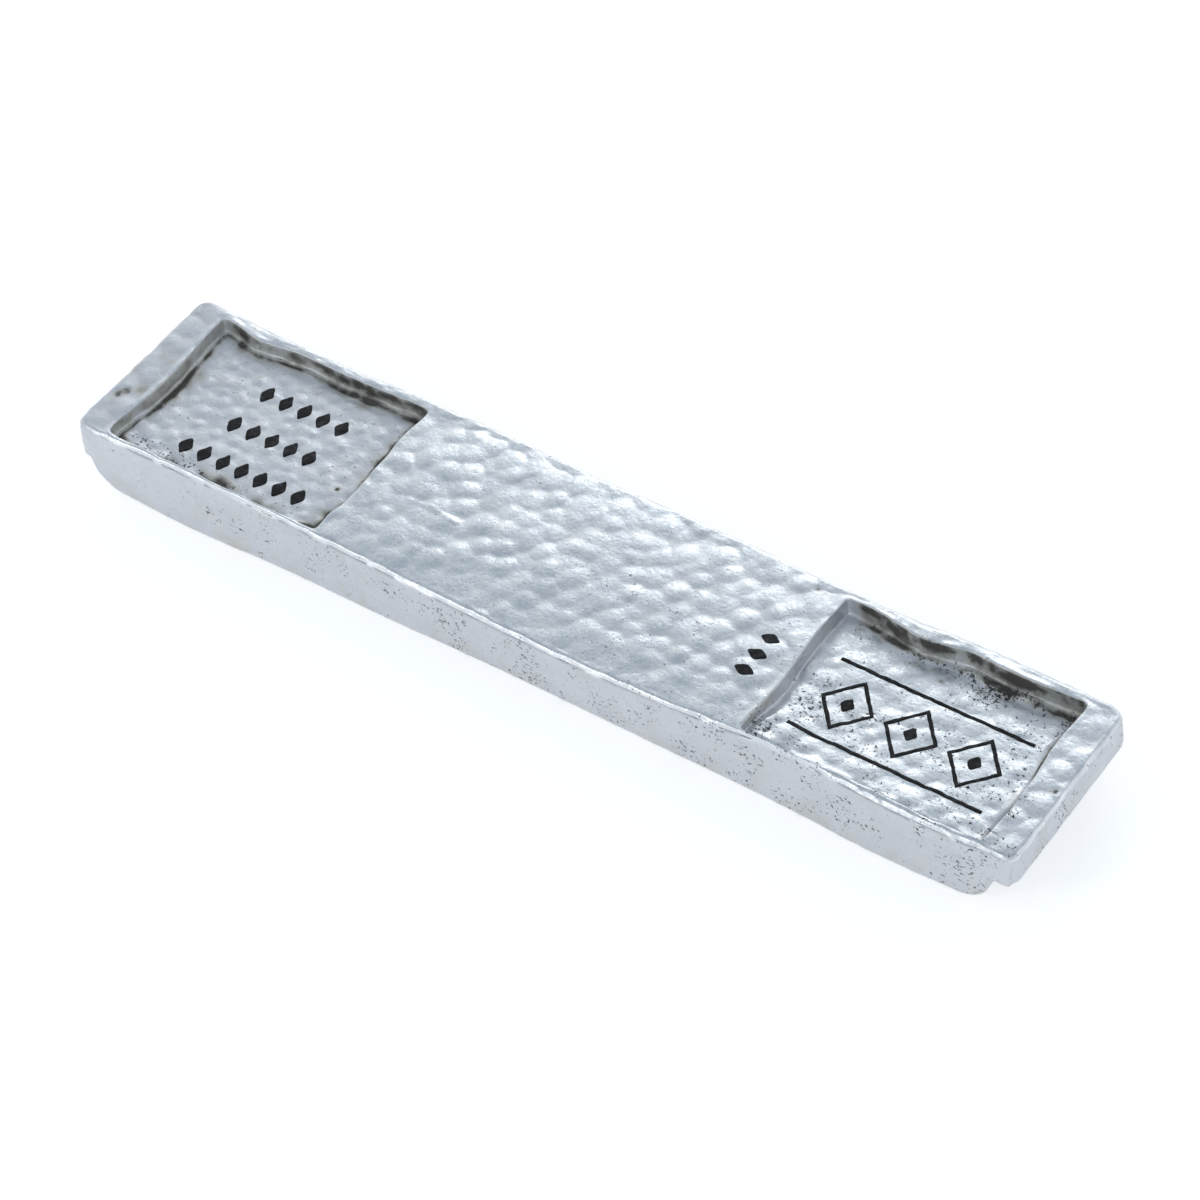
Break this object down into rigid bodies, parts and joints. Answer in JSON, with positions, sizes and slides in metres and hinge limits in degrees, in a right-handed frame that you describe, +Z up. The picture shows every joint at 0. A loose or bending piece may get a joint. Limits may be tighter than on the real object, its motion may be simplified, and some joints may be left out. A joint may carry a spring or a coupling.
{
  "type": "tin ingot",
  "caption": "Cast tin bar with an overhanging lip at each end, wavy sides and two shallow rectangular pockets sunk in its hammered top.",
  "frame": {"origin": "middle of the flat base, in plan at the centre of the bar", "axes": "+X along the bar towards the longer lip and its deeper pocket, +Z up out of the pocketed face"},
  "size_m": [0.1002, 0.0203, 0.0075],
  "materials": {
    "tin": "cast tin, satin, worn bright along the edges"
  },
  "bodies": {
    "root": {"ingot": "tin"}
  },
  "joints": []
}
